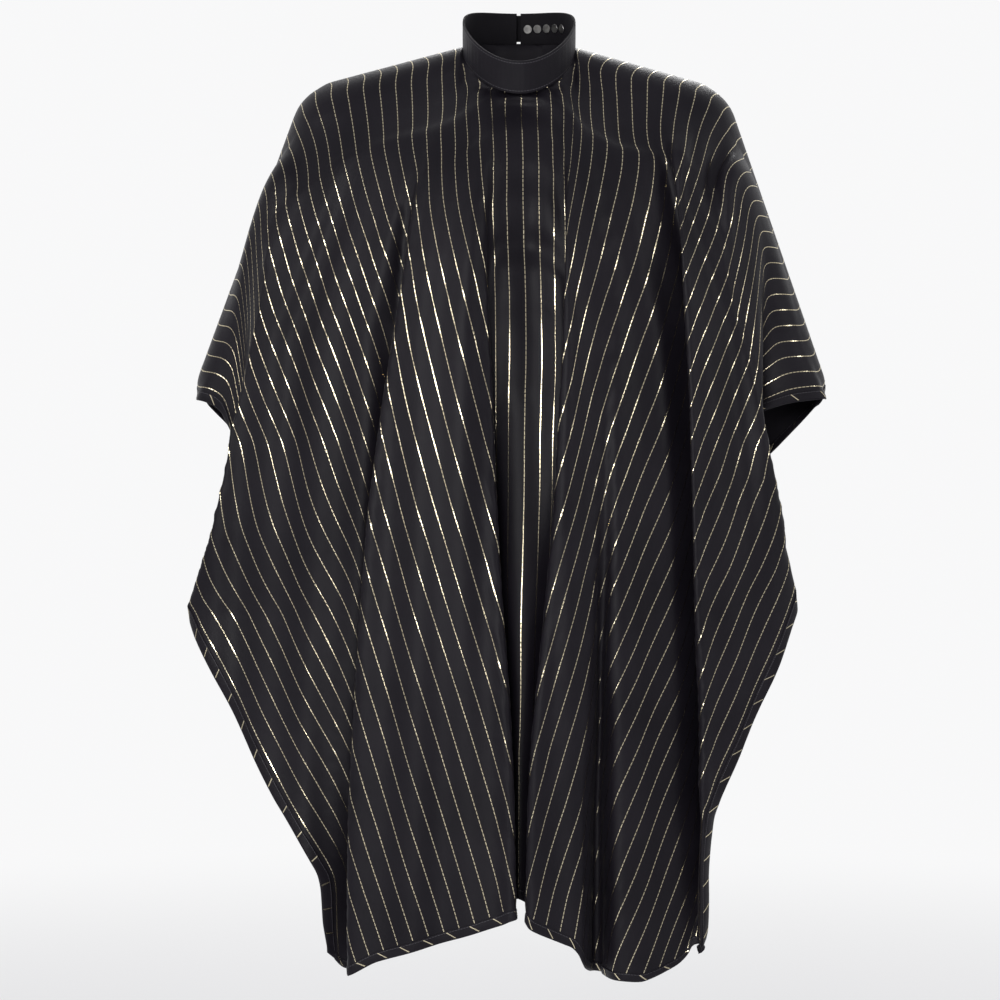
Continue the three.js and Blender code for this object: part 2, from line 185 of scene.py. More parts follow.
def front_sections(z):
    """Section of the hanging front at heights z: (stripe, x, y, strength) in order."""
    mm = z * 1000
    far = np.minimum(mm, -60)
    base = -0.001 * line(z, [60, 110, 260, 480, 740, 1040], [84, 118, 150, 168, 180, 184])

    def bow(x):
        return base + 0.085 * (x / 0.35) ** 2

    s = []

    def add(k, x, y, w):
        s.append((k, x, y, w))

    # left edge of the front, seen against the background
    k = line(z, [138, 195, 310, 425, 470, 525, 580, 606, 635, 660, 673],
             [-17, -19, -22, -26, -28, -29, -30, -31, -32, -33, -33.7])
    x = 0.001 * line(z, [138, 195, 310, 425, 459, 494, 540, 585, 654,
                         673, 735, 821, 887, 945, 991, 1032, 1062],
                     [-276, -293, -310, -334, -344, -348, -355, -362, -379,
                      -379, -348, -306, -277, -248, -233, -230, -218])
    x = x - 0.001 * line(z, [480, 600, 700, 800, 900, 1060], [0, 8, 20, 24, 16, 13])
    edge = bow(x) + 0.006
    wrap = np.maximum(k + 34, 0) * PITCH
    add(np.full_like(z, -34.0), x + 0.72 * wrap + 1e-4, edge + 0.62 * wrap, 0.35)
    add(k, x, edge, 1.0)
    # long fold left of centre
    kl = np.maximum(-3.36 + 0.03075 * far, -33.3)
    kr = -4.36 + 0.019 * far
    kl = np.minimum(kl, kr - 0.2)
    fx = 0.001 * line(z, [85, 138, 195, 310, 425, 551, 654, 769, 884, 1085],
                      [-99, -111, -125, -143, -162, -180, -188, -195, -201, -201])
    w = (kr - kl) * PITCH / 2
    depth = np.minimum(0.030, 0.5 * w)
    add(kl, fx - 0.006, bow(fx) + depth, 0.8)
    add((kl + kr) / 2, fx + 0.42 * w, bow(fx) - 0.012 + 0.8 * w, 0.4)
    add(kr, fx, bow(fx) - 0.012, 1.0)
    # left curtain edge
    kl = -0.18 + 0.01324 * far + line(z, [600, 900], [0, 0.4])
    kr = line(z, [138, 310, 615, 830], [-2, -2, -1, 0])
    kl = np.minimum(kl, kr - 0.1)
    fx = 0.001 * line(z, [138, 195, 310, 425, 540, 654, 769, 884, 999, 1018],
                      [-34, -37, -31, -26, -20, -14, -5, 0, 0, 0])
    w = (kr - kl) * PITCH / 2
    add(kl, fx, bow(fx) - 0.008, 1.0)
    add((kl + kr) / 2, fx - 0.52 * w, bow(fx) - 0.006 + 0.82 * w, 0.4)
    add(kr, fx - 0.002, bow(fx) + np.minimum(0.034, 0.8 * w), 0.8)
    # right curtain edge
    kl = line(z, [138, 275, 677, 830], [2.3, 2, 1, 0.05])
    kr = np.maximum(1.46 - 0.0142 * far - line(z, [600, 900], [0, 0.6]), kl + 0.1)
    fx = 0.001 * line(z, [138, 195, 310, 390, 470, 530, 604, 675, 748, 823, 900, 1018],
                      [54, 49, 46, 44, 37, 35, 29, 22, 14, 6, 1, -1])
    w = (kr - kl) * PITCH / 2
    add(kl, fx - 0.001, bow(fx) + np.minimum(0.034, 0.8 * w), 0.8)
    add((kl + kr) / 2, fx + 0.5 * w, bow(fx) - 0.006 + 0.84 * w, 0.4)
    add(kr, fx + 0.001, bow(fx) - 0.008, 1.0)
    # right valley
    kl = line(z, [80, 333, 460, 569, 629, 719, 802, 891, 991, 1052],
              [5.2, 9.5, 11, 13, 14, 15, 16, 17, 19, 19.6])
    kl = np.maximum(kl, kr + 0.3)
    kr = line(z, [80, 333, 390, 460, 564, 646, 729, 793, 877, 974, 1053, 1091],
              [5.7, 10, 11, 12.2, 14.2, 16, 18, 20, 22, 24, 26, 27])
    kr = np.maximum(kr, kl + 0.3)
    xl = 0.001 * line(z, [80, 569, 629, 719, 802, 891, 1052], [82, 92, 90, 84, 78, 71, 70])
    xr = 0.001 * line(z, [80, 333, 729, 793, 1053], [90, 101, 102, 106, 107])
    half = (kr - kl) * PITCH / 2
    depth = np.sqrt(np.maximum(half ** 2 - ((xr - xl) / 2) ** 2, 0.006 ** 2))
    add(kl, xl, bow(xl) - 0.004, 0.9)
    add((kl + kr) / 2, (xl + xr) / 2, bow(xl) + depth * 0.9, 0.5)
    add(kr, xr, bow(xr) - 0.004, 0.9)
    # main fold on the right: its right side lies over the left
    kr5 = 9.6 - 0.0264 * far
    kl5 = 5.08 - 0.0242 * far
    middle, taken = (kl5 + kr5) / 2, (kr5 - kl5) / 2
    taken = taken * line(z, [60, 280], [0.08, 1.0])
    kl5, kr5 = middle - taken, middle + taken
    kl5 = np.maximum(kl5, kr + 0.3)
    kr5 = np.minimum(np.maximum(kr5, kl5 + 0.3), 33.6)
    fx = 0.001 * line(z, [69, 109, 138, 195, 287, 425, 563, 769, 999],
                      [155, 166, 174, 181, 186, 193, 196, 198, 203])
    w = (kr5 - kl5) * PITCH / 2
    add(kl5, fx - 0.002, bow(fx) + np.minimum(0.030, 0.5 * w), 0.8)
    add((kl5 + kr5) / 2, fx + 0.38 * w, bow(fx) - 0.012 + 0.86 * w, 0.4)
    add(kr5, fx, bow(fx) - 0.012, 1.0)
    # right edge of the front
    k = line(z, [138, 195, 310, 425, 455, 473, 518, 541, 582, 618, 644, 677],
             [15.9, 17.6, 21.3, 26, 27, 28, 29, 30, 31, 32, 33, 33.9])
    k = np.maximum(k, kr5 + 0.2)
    x = 0.001 * line(z, [138, 195, 310, 425, 496, 550, 631, 677, 724, 796, 868, 934, 975, 1047, 1068],
                     [228, 232, 256, 283, 298, 313, 327, 330, 313, 281, 248, 226, 216, 214, 203])
    x = np.maximum(x, fx + 0.004)
    edge = bow(x) + 0.006
    wrap = np.maximum(34.2 - k, 0) * PITCH
    add(k, x, edge, 1.0)
    add(np.full_like(z, 34.6), x - 0.72 * wrap - 1e-4, edge + 0.62 * wrap, 0.35)
    return s


def front_guide(stripe, z):
    """Where a point of a stripe at height z hangs, and how firmly the guide holds it."""
    sections = front_sections(z)
    x = np.zeros_like(z)
    y = np.zeros_like(z)
    w = np.zeros_like(z)
    for (k0, x0, y0, w0), (k1, x1, y1, w1) in zip(sections[:-1], sections[1:]):
        inside = (stripe >= k0) & (stripe < k1)
        t = (stripe - k0) / np.maximum(k1 - k0, 1e-6)
        x = np.where(inside, x0 + (x1 - x0) * t, x)
        y = np.where(inside, y0 + (y1 - y0) * t, y)
        w = np.where(inside, w0 + (w1 - w0) * t, w)
    # above the elbows only the cloth inside the arms is guided
    left, right = sections[1][0], sections[-2][0]
    high = z > -0.452
    w = np.where(high & ((stripe < left) | (stripe > right)), 0, w)
    w = w * np.clip((-z - 0.055) / 0.14, 0, 1)
    # soft folds that fan out from the neck
    fan = x / np.interp(-z, [0.05, 0.35, 1.1], [0.55, 0.95, 1.1])
    grow = np.interp(-z, [0.08, 0.25, 0.70, 1.05], [0.3, 1.0, 1.0, 0.7])
    y = y + grow * (0.0048 * np.sin(fan * 105 + 2.2 * z) + 0.0045 * np.sin(fan * 47 - 3 * z + 1.3))
    return x, y, w


# The front hem seen from the front, left to right, in millimetres.
HEM_LINE = [(-218, -1064), (-200, -1085), (-169, -1068), (-117, -1052),
            (-67, -1037), (-12, -1019), (-2, -1011),
            (6, -1025), (26, -1034), (68, -1052), (75, -1078), (87, -1085), (129, -1095), (180, -1078),
            (201, -1068), (214, -1047)]


def hem_height(stripe):
    """How low the front hem hangs at each stripe."""
    xs, zs = np.array(HEM_LINE).T * 0.001
    z = np.full_like(stripe, -1.05)
    for _ in range(6):
        z = 0.5 * z + 0.5 * np.interp(front_guide(stripe, z)[0], xs, zs)
    return z


# ---------------------------------------------------------------- what the cloth hangs over
def capsules():
    """Neck, shoulders, arms and legs as round-ended tapering rods."""
    shoulder, elbow = (-0.212, 0.005, -0.100), (-0.344, 0.000, -0.402)
    wrist = (-0.235, -0.070, -0.560)
    out = [((0, 0.012, -0.06), (0, -0.004, 0.02), 0.058, 0.058)]
    for side, reach in ((1, 1.0), (-1, RIGHT_SCALE)):
        def at(p):
            return (p[0] * side * reach, p[1], p[2])
        out.append((at((-0.066, 0.014, -0.040)), at((-0.205, 0.008, -0.095)), 0.044, 0.060))
        out.append((at(shoulder), at(elbow), 0.060, 0.040))
        out.append((at(elbow), at(wrist), 0.040, 0.030))
        out.append((at((-0.090, 0.0, -0.62)), at((-0.130, 0.0, -1.15)), 0.090, 0.062))
    return out


CAPSULES = capsules()
SKIN = 0.004                  # clearance kept off the wearer's form
# Limits that stand in for the wearer and the cloth's own stiffness, set against
# the photograph at the front and sides, and against the CAD solid at the back.
WALL = 0.398                  # half width inside which the arms keep the cloth
TIP = np.array([0.388, 0.0, -0.416])   # where the side edge crosses the elbow
# Half width that the back half keeps to, at each depth below the neck.
WALL_DEPTH = [0.40, 0.425, 0.50, 0.62, 0.80]
WALL_BACK = [0.398, 0.392, 0.300, 0.235, 0.190]
REAR = 0.150                  # how far behind the neck's centre the cloth may swing
SLACK = 0.20                  # how weakly a shortened thread pushes back
SLACK_LONG = 0.04             # the same along the stripes
SLACK_BIAS = 0.05             # the same across the bias
# Share of a gap that one sweep of the solver closes.
BIAS_HOLD = 0.25
REACH_HOLD = 0.8
SHORT_HOLD = 0.35
ELBOW_HOLD = 0.12
ARM_HOLD = 0.10
HEM_HOLD = 0.15
LIFT_HOLD = 0.5
WALL_HOLD = 0.2
REAR_HOLD = 0.3
# Shortest share of its length that a thread may fold to, across and along the stripes.
SHORTEST_ACROSS = 0.88
SHORTEST_ALONG = 0.68


def push_out(points):
    """Moves points out of the wearer's simple form."""
    for a, b, ra, rb in CAPSULES:
        a, b = np.array(a), np.array(b)
        ab = b - a
        t = np.clip((points - a) @ ab / (ab @ ab), 0, 1)
        away = points - (a + t[..., None] * ab)
        d = np.linalg.norm(away, axis=-1)
        reach = ra + (rb - ra) * t + SKIN
        k = np.where(d < reach, reach / np.maximum(d, 1e-6), 1.0)
        points += away * (k - 1)[..., None]
    z = points[..., 2]
    width = np.interp(-z, [0.08, 0.16, 0.45, 0.65], [0.075, 0.095, 0.062, 0.080])
    radius = np.interp(-z, [0.07, 0.12, 0.25, 0.45, 0.62, 0.66], [0.0, 0.085, 0.112, 0.106, 0.106, 0.0])
    cx = np.clip(points[..., 0], -width, width)
    dx, dy = points[..., 0] - cx, points[..., 1] - 0.004
    d = np.hypot(dx, dy)
    k = np.where((d < radius) & (d > 1e-6), radius / np.maximum(d, 1e-6), 1.0) - 1
    points[..., 0] += dx * k
    points[..., 1] += dy * k
    return points


# ---------------------------------------------------------------- cloth relaxation
def flat_grid(nu, nv):
    """Flat places of an even grid, which of them lie on the neck seam and inside it."""
    u = np.linspace(-HALF_WIDTH, HALF_WIDTH, nu)
    v = np.linspace(-BACK_LENGTH, FRONT_LENGTH, nv)
    uv = np.stack(np.meshgrid(u, v, indexing="ij"), -1)
    step = (u[1] - u[0] + v[1] - v[0]) / 2
    r = np.linalg.norm(uv, axis=-1)
    rim = np.abs(r - NECK_HOLE) <= step * 0.5
    uv[rim] *= (NECK_HOLE / r[rim])[:, None]
    hole = (r < NECK_HOLE) & ~rim
    return uv, rim, hole


def neck_place(uv):
    """Where the neck seam holds the cloth, carried on smoothly inside the hole."""
    angle = np.arctan2(uv[..., 0], uv[..., 1])
    r = np.linalg.norm(uv, axis=-1)
    place = neck_edge(angle) + 0.0022 * neck_outward(angle) + 0.0012 * BAND_UP
    inside = np.maximum(NECK_HOLE - r, 0)[..., None]
    return place + inside * (BAND_UP * 0.8 - neck_outward(angle) * 0.3)


def relax(P, uv, rim, hole, steps, sweeps, gravity, damping, guide, bend):
    """Lets the cloth points P hang, with their flat places uv held at the neck seam."""
    fixed = rim | hole
    seam = neck_place(uv)
    free = (~fixed).astype(float)
    stripe = uv[..., 0] / PITCH
    front = uv[..., 1] > 0.10
    P[fixed] = seam[fixed]
    before = P.copy()
    du = np.linalg.norm(uv[1:] - uv[:-1], axis=-1)
    dv = np.linalg.norm(uv[:, 1:] - uv[:, :-1], axis=-1)
    d1 = np.linalg.norm(uv[1:, 1:] - uv[:-1, :-1], axis=-1)
    d2 = np.linalg.norm(uv[1:, :-1] - uv[:-1, 1:], axis=-1)
    b_u = np.linalg.norm(uv[2:] - uv[:-2], axis=-1)
    b_v = np.linalg.norm(uv[:, 2:] - uv[:, :-2], axis=-1)

    def tie(a, b, rest, strength, only_short=0.0, slack=SLACK):
        """Draws points a and b to their rest length, or only keeps them from folding shorter."""
        fa, fb = free[a], free[b]
        d = P[b] - P[a]
        length = np.sqrt((d * d).sum(-1)) + 1e-9
        if only_short:
            gap = np.minimum(length - rest * only_short, 0)
        else:
            gap = length - rest
            gap = np.where(gap < 0, gap * slack, gap)
        k = strength * gap / length / np.maximum(fa + fb, 1)
        P[a] += d * (k * fa)[..., None]
        P[b] -= d * (k * fb)[..., None]

    def pairs(n, skip, parity):
        """Non-touching pairs along one axis of length n."""
        period = 2 * skip
        first = [i for i in range(n - skip) if (i - parity) % period == 0]
        return np.array(first, int)

    nu, nv = uv.shape[:2]
    every = slice(None)

    def reach(skip, axis):
        """Points far apart along one thread are never further apart than the thread."""
        n = uv.shape[axis]
        for half in (0, skip):
            i = np.array([i for i in range(n - skip) if (i - half) % (2 * skip) < skip], int)
            if not len(i):
                continue
            a, b = ((i, every), (i + skip, every)) if axis == 0 else ((every, i), (every, i + skip))
            rest = np.linalg.norm(uv[b] - uv[a], axis=-1)
            fa, fb = free[a], free[b]
            d = P[b] - P[a]
            length = np.sqrt((d * d).sum(-1)) + 1e-9
            k = REACH_HOLD * np.maximum(length - rest, 0) / length / np.maximum(fa + fb, 1)
            P[a] += d * (k * fa)[..., None]
            P[b] -= d * (k * fb)[..., None]

    def smooth(amount):
        """Bending stiffness: each thread is eased towards its neighbours."""
        for n in (1, 2):
            for axis in (0, 1):
                Q, F = np.moveaxis(P, axis, 0), np.moveaxis(free, axis, 0)
                bend = (Q[:-2 * n] + Q[2 * n:]) / 2 - Q[n:-n]
                Q[n:-n] += bend * amount * F[n:-n, :, None]

    hem = hem_height(stripe[:, -1])[:, None]
    below = uv[..., 1] > 0.40
    # how much height each metre of a stripe takes up above the hem, from the middle out
    steep = np.interp(np.abs(stripe), [12, 15, 25, 34], [0.93, 0.91, 0.80, 0.67])
    lowest = hem + (FRONT_LENGTH - uv[..., 1]) * steep
    # the side edges cross the elbows level with the neck centre on the flat cloth
    level_with_neck = np.exp(-(uv[..., 1] / 0.05) ** 2)
    near_side = np.clip((np.abs(uv[..., 0]) - 0.60) / 0.045, 0, 1)
    at_elbow = (level_with_neck * near_side * ELBOW_HOLD)[..., None]
    at_elbow = at_elbow * np.array([1.0, 0.0, 1.0])
    # over the arms the stripes run level before they turn down the front
    level = -0.090 - (np.abs(stripe) - 16) * 0.0186
    on_arm = np.clip((np.abs(stripe) - 17) / 3, 0, 1) * np.clip((0.100 - uv[..., 1]) / 0.03, 0, 1)
    on_arm = on_arm * np.clip((uv[..., 1] + 0.02) / 0.03, 0, 1) * ARM_HOLD
    near_hem = np.clip((uv[..., 1] - 0.90) / 0.15, 0, 1) * HEM_HOLD
    behind = uv[..., 1] < 0.02

    for _ in range(steps):
        move = (P - before) * damping
        before = P.copy()
        move[..., 2] -= gravity
        P += move * free[..., None]
        for sweep in range(sweeps):
            if sweep % 2 == 0:
                for skip in (32, 16, 8, 4):
                    reach(skip, 1)
                for skip in (16, 8, 4):
                    reach(skip, 0)
            for parity in (0, 1):
                i = np.arange(parity, nu - 1, 2)
                tie((i, every), (i + 1, every), du[i], 1.0)
                j = np.arange(parity, nv - 1, 2)
                tie((every, j), (every, j + 1), dv[:, j], 1.0, 0.0, SLACK_LONG)
            for parity in (0, 1):
                i = np.arange(parity, nu - 1, 2)
                tie((i, slice(1, None)), (i + 1, slice(0, -1)), d2[i], BIAS_HOLD, 0.0, SLACK_BIAS)
                tie((i, slice(0, -1)), (i + 1, slice(1, None)), d1[i], BIAS_HOLD, 0.0, SLACK_BIAS)
            for parity in range(4):
                i = pairs(nu, 2, parity)
                tie((i, every), (i + 2, every), b_u[i], SHORT_HOLD, SHORTEST_ACROSS)
                j = pairs(nv, 2, parity)
                tie((every, j), (every, j + 2), b_v[:, j], SHORT_HOLD, SHORTEST_ALONG)
            if guide:
                x, y, w = front_guide(stripe, P[..., 2])
                w = w * guide * front
                P[..., 0] += (x - P[..., 0]) * w
                P[..., 1] += (y - P[..., 1]) * w
            if sweep % 2:
                smooth(bend)
            lift = np.maximum(lowest - P[..., 2], 0) * LIFT_HOLD
            lift = np.where(below, lift, 0) + (lowest - P[..., 2]) * near_hem
            P[..., 2] += lift
            side = np.where(P[..., 0] < 0, 1.0, RIGHT_SCALE)
            mirror = np.stack([np.sign(uv[..., 0]) * side, 0 * side, 1 + 0 * side], -1)
            P += (TIP * mirror - P) * at_elbow
            wall = np.where(behind, np.interp(-P[..., 2], WALL_DEPTH, WALL_BACK), WALL) * side
            P[..., 0] -= np.sign(P[..., 0]) * np.maximum(np.abs(P[..., 0]) - wall, 0) * WALL_HOLD
            P[..., 2] += (level - P[..., 2]) * on_arm
            P[..., 1] -= np.maximum(P[..., 1] - REAR, 0) * REAR_HOLD
            push_out(P)
            P[fixed] = seam[fixed]
    return P


def refine(P, times=2):
    """Smooth finer grid of points, by cubic steps both ways."""
    for axis in (0, 1):
        Q = np.moveaxis(P, axis, 0)
        ends = np.concatenate([2 * Q[:1] - Q[1:2], Q, 2 * Q[-1:] - Q[-2:-1]])
        parts = [catmull(ends[:-3], ends[1:-2], ends[2:-1], ends[3:], t / times) for t in range(times)]
        out = np.empty(((len(Q) - 1) * times + 1,) + Q.shape[1:])
        for t in range(times):
            out[t:-1:times] = parts[t]
        out[-1] = Q[-1]
        P = np.moveaxis(out, 0, axis)
    return P


def drape():
    """The hanging cloth as a grid of points, with their flat places."""
    nu, nv = 65, 77
    uv, rim, hole = flat_grid(nu, nv)
    P = first_shape(uv)
    stripe = uv[..., 0] / PITCH
    # The front starts in its folds, a little above where it will settle.
    front = uv[..., 1] > 0.10
    guess = -0.045 - np.maximum(uv[..., 1] - 0.074, 0) * 0.97
    x, y, w = front_guide(stripe, guess)
    use = front & (w > 0.05)
    P[use, 0], P[use, 1], P[use, 2] = x[use], y[use], guess[use]
    P = relax(P, uv, rim, hole, steps=60, sweeps=6, gravity=0.0012,
              damping=0.88, guide=0.10, bend=0.012)
    P = relax(P, uv, rim, hole, steps=40, sweeps=8, gravity=0.0005,
              damping=0.80, guide=0.08, bend=0.025)
    P = refine(P)
    uv, rim, hole = flat_grid(2 * nu - 1, 2 * nv - 1)
    P[rim | hole] = neck_place(uv)[rim | hole]
    P = relax(P, uv, rim, hole, steps=14, sweeps=8, gravity=0.00012,
              damping=0.70, guide=0.16, bend=0.05)
    P = relax(P, uv, rim, hole, steps=5, sweeps=10, gravity=0.0,
              damping=0.0, guide=0.12, bend=0.05)
    return P, uv


# Where the cloth hangs, its flat places and which way its outer face looks.
HUNG, CUT = drape()
HUNG = refine(HUNG)
CUT, RIM, HOLE = flat_grid(*HUNG.shape[:2])
HUNG[RIM | HOLE] = neck_place(CUT)[RIM | HOLE]
FACING = np.cross(np.gradient(HUNG, axis=1), np.gradient(HUNG, axis=0))
FACING /= np.linalg.norm(FACING, axis=-1, keepdims=True) + 1e-12


# ---------------------------------------------------------------- building meshes
def on_cloth(u, v, lift):
    """Points of the hanging cloth at flat places, lifted off its outer face."""
    nu, nv = HUNG.shape[:2]
    a = np.clip((u + HALF_WIDTH) / (2 * HALF_WIDTH) * (nu - 1), 0, nu - 1 - 1e-6)
    b = np.clip((v + BACK_LENGTH) / (FRONT_LENGTH + BACK_LENGTH) * (nv - 1), 0, nv - 1 - 1e-6)
    i, j = a.astype(int), b.astype(int)
    s, t = (a - i)[..., None], (b - j)[..., None]

    def mix(grid):
        return ((grid[i, j] * (1 - t) + grid[i, j + 1] * t) * (1 - s)
                + (grid[i + 1, j] * (1 - t) + grid[i + 1, j + 1] * t) * s)
    n = mix(FACING)
    n /= np.linalg.norm(n, axis=-1, keepdims=True) + 1e-12
    # beyond the edge of the cloth the point carries on along the cloth
    over_u = u - np.clip(u, -HALF_WIDTH, HALF_WIDTH)
    over_v = v - np.clip(v, -BACK_LENGTH, FRONT_LENGTH)
    along_u = HUNG[i + 1, j] - HUNG[i, j]
    along_v = HUNG[i, j + 1] - HUNG[i, j]
    along_u /= np.linalg.norm(along_u, axis=-1, keepdims=True) + 1e-12
    along_v /= np.linalg.norm(along_v, axis=-1, keepdims=True) + 1e-12
    lift = np.asarray(lift) * np.ones_like(u)
    return mix(HUNG) + n * lift[..., None] + along_u * over_u[..., None] + along_v * over_v[..., None]


def mesh_object(name, points, faces, materials, which=None, flat=None):
    """Smooth mesh; which gives each face's material, flat each point's place on the cut cloth."""
    mesh = bpy.data.meshes.new(name)
    mesh.from_pydata(np.asarray(points).reshape(-1, 3).tolist(), [], faces)
    for m in materials:
        mesh.materials.append(m)
    if which is not None:
        mesh.polygons.foreach_set("material_index", np.asarray(which, dtype=np.int32))
    mesh.polygons.foreach_set("use_smooth", np.ones(len(mesh.polygons), dtype=bool))
    if flat is not None:
        corner = np.empty(len(mesh.loops), dtype=np.int32)
        mesh.loops.foreach_get("vertex_index", corner)
        layer = mesh.uv_layers.new(name="flat")
        layer.data.foreach_set("uv", np.asarray(flat).reshape(-1, 2)[corner].astype(np.float32).ravel())
    mesh.validate()
    mesh.update()
    obj = bpy.data.objects.new(name, mesh)
    bpy.context.scene.collection.objects.link(obj)
    return obj


def tube_faces(rings, around):
    """Faces of a closed profile carried along a row of rings."""
    faces = []
    for r in range(rings - 1):
        for k in range(around):
            a, b = r * around + k, r * around + (k + 1) % around
            faces.append((a, b, b + around, a + around))
    half = around // 2
    for start, turn in ((0, False), ((rings - 1) * around, True)):
        for k in range(half - 1):
            q = (start + k, start + k + 1, start + around - 2 - k, start + around - 1 - k)
            faces.append(q if turn else q[::-1])
    return faces


def patches(rows):
    """Separate little strips: rows is (strips, steps, 2, 3)."""
    count, steps = rows.shape[:2]
    faces = []
    for c in range(count):
        base = c * steps * 2
        for s in range(steps - 1):
            a = base + s * 2
            faces.append((a, a + 1, a + 3, a + 2))
    return rows.reshape(-1, 3), faces


# ---------------------------------------------------------------- materials
def tree(name):
    """A new material with its nodes, links and main shader."""
    m = bpy.data.materials.new(name)
    m.use_nodes = True
    nodes, links = m.node_tree.nodes, m.node_tree.links
    return m, nodes, links, nodes["Principled BSDF"]


def ramp(nodes, links, source, dark, light):
    """Colour between two tones over the middle of a noise's range."""
    r = nodes.new("ShaderNodeValToRGB")
    for stop, position, color in zip(r.color_ramp.elements, (0.35, 0.65), (dark, light)):
        stop.position = position
        stop.color = (*color, 1)
    links.new(source, r.inputs[0])
    return r


def noise(nodes, links, vector, scale, detail):
    n = nodes.new("ShaderNodeTexNoise")
    n.inputs["Scale"].default_value = scale
    n.inputs["Detail"].default_value = detail
    links.new(vector, n.inputs["Vector"])
    return n


def fabric(name, dark, light, roughness, sheen, thread=0.0009, bump=0.25):
    """Woven cloth: a fine twill, uneven dyeing, soft creases and a sheen."""
    m, nodes, links, shader = tree(name)
    place = nodes.new("ShaderNodeUVMap")
    place.uv_map = "flat"
    where = place.outputs["UV"]
    bands = []
    for angle in (math.radians(45), math.radians(-63)):
        turn = nodes.new("ShaderNodeMapping")
        turn.inputs["Rotation"].default_value = (0, 0, angle)
        links.new(where, turn.inputs["Vector"])
        w = nodes.new("ShaderNodeTexWave")
        w.inputs["Scale"].default_value = 0.314 / thread
        w.inputs["Distortion"].default_value = 0.6
        links.new(turn.outputs["Vector"], w.inputs["Vector"])
        bands.append(w.outputs["Fac"])
    weave = nodes.new("ShaderNodeMath")
    weave.operation = "MULTIPLY"
    links.new(bands[0], weave.inputs[0])
    links.new(bands[1], weave.inputs[1])
    uneven = noise(nodes, links, where, 9.0, 5.0)
    tone = ramp(nodes, links, uneven.outputs["Fac"], dark, light)
    deep = nodes.new("ShaderNodeMix")
    deep.data_type = "RGBA"
    deep.blend_type = "MULTIPLY"
    deep.inputs["Factor"].default_value = 0.35
    links.new(tone.outputs["Color"], deep.inputs["A"])
    links.new(weave.outputs[0], deep.inputs["B"])
    links.new(deep.outputs["Result"], shader.inputs["Base Color"])
    rough = nodes.new("ShaderNodeMapRange")
    rough.inputs["To Min"].default_value = roughness - 0.06
    rough.inputs["To Max"].default_value = roughness + 0.08
    links.new(uneven.outputs["Fac"], rough.inputs["Value"])
    links.new(rough.outputs["Result"], shader.inputs["Roughness"])
    shader.inputs["Specular IOR Level"].default_value = 0.16
    shader.inputs["Sheen Weight"].default_value = sheen
    shader.inputs["Sheen Roughness"].default_value = 0.45
    shader.inputs["Sheen Tint"].default_value = (0.78, 0.76, 0.86, 1)
    crease = noise(nodes, links, where, 34.0, 4.0)
    first = nodes.new("ShaderNodeBump")
    first.inputs["Strength"].default_value = 0.35
    first.inputs["Distance"].default_value = 0.0012
    links.new(crease.outputs["Fac"], first.inputs["Height"])
    second = nodes.new("ShaderNodeBump")
    second.inputs["Strength"].default_value = bump
    second.inputs["Distance"].default_value = 0.0002
    links.new(weave.outputs[0], second.inputs["Height"])
    links.new(first.outputs["Normal"], second.inputs["Normal"])
    links.new(second.outputs["Normal"], shader.inputs["Normal"])
    return m


def plain(name, color, roughness, metallic=0.0):
    m, _, _, shader = tree(name)
    shader.inputs["Base Color"].default_value = (*color, 1)
    shader.inputs["Roughness"].default_value = roughness
    shader.inputs["Metallic"].default_value = metallic
    return m


def worn(name, dark, light, roughness, metallic, scale):
    """Satin metal or felt for the small CAD pieces, with uneven wear."""
    m, nodes, links, shader = tree(name)
    place = nodes.new("ShaderNodeTexCoord")
    patch = noise(nodes, links, place.outputs["Object"], scale, 6.0)
    tone = ramp(nodes, links, patch.outputs["Fac"], dark, light)
    links.new(tone.outputs["Color"], shader.inputs["Base Color"])
    rough = nodes.new("ShaderNodeMapRange")
    rough.inputs["To Min"].default_value = roughness - 0.08
    rough.inputs["To Max"].default_value = roughness + 0.12
    links.new(patch.outputs["Fac"], rough.inputs["Value"])
    links.new(rough.outputs["Result"], shader.inputs["Roughness"])
    shader.inputs["Metallic"].default_value = metallic
    grain = noise(nodes, links, place.outputs["Object"], scale * 6, 2.0)
    bump = nodes.new("ShaderNodeBump")
    bump.inputs["Strength"].default_value = 0.12
    bump.inputs["Distance"].default_value = 0.0003
    links.new(grain.outputs["Fac"], bump.inputs["Height"])
    links.new(bump.outputs["Normal"], shader.inputs["Normal"])
    return m


CLOTH = fabric("charcoal_pinstripe_cloth", (0.0092, 0.0076, 0.0118), (0.0138, 0.0115, 0.0170), 0.44, 0.03)
# The reverse is the cloth's own charcoal, lightened above the outer cloth's as painted light that stands in
# for light on the shaded inside.
REVERSE_WITH_PAINTED_LIGHT = fabric("charcoal_reverse_painted_light", (0.0120, 0.0104, 0.0145), (0.0165, 0.0144, 0.0195), 0.64, 0.03)
EDGE = fabric("binding_tape", (0.0092, 0.0076, 0.0118), (0.0142, 0.0118, 0.0174), 0.42, 0.04, 0.0007, 0.35)
BAND = fabric("neckband_twill", (0.0100, 0.0084, 0.0126), (0.0145, 0.0122, 0.0176), 0.48, 0.04, 0.0007, 0.4)
LINING = fabric("neckband_lining_cloth", (0.0075, 0.0064, 0.0092), (0.0105, 0.0090, 0.0126), 0.66, 0.02,
                0.0007, 0.4)
GOLD = plain("gold_lurex", (0.88, 0.78, 0.55), 0.24, 1.0)
THREAD = plain("dark_thread", (0.050, 0.046, 0.056), 0.50)
STEEL = worn("satin_nickel", (0.42, 0.41, 0.40), (0.60, 0.59, 0.57), 0.30, 1.0, 180.0)
FELT = worn("interlining_felt", (0.045, 0.043, 0.047), (0.075, 0.072, 0.078), 0.90, 0.0, 400.0)

# ---------------------------------------------------------------- the cloth itself
THICK = 0.0005             # of the cape cloth


